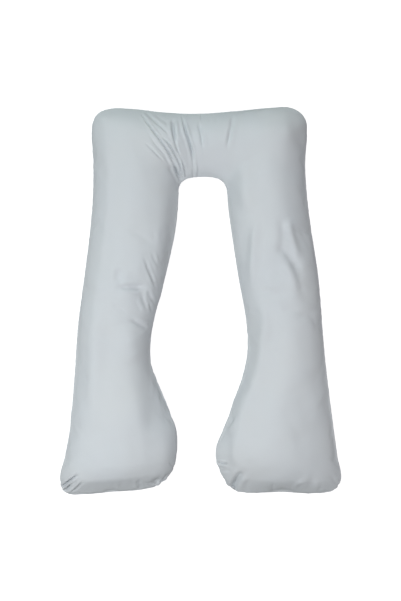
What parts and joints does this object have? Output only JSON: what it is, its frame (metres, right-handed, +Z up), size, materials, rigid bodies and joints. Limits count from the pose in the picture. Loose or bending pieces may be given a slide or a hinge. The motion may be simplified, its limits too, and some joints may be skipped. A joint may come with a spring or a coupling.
{
  "type": "body pillow",
  "caption": "U-shaped full-body pillow: a filled plain cloth cover with a crossbar at the head end and two long legs that widen into rounded feet, lying flat on its back.",
  "frame": {"origin": "on the surface the pillow lies on, under the middle of its box, so between the two legs", "axes": "+Y towards the crossbar at the head end, -Y towards the feet, +X to the right seen from above with the head end away, +Z up through the filling"},
  "size_m": [1.2, 1.656, 0.1969],
  "materials": {
    "cover_cloth": "smooth plain-weave cotton in pale silver blue-grey, matt with a very slight sheen"
  },
  "bodies": {
    "root": {"pillow": "cover_cloth"}
  },
  "joints": []
}
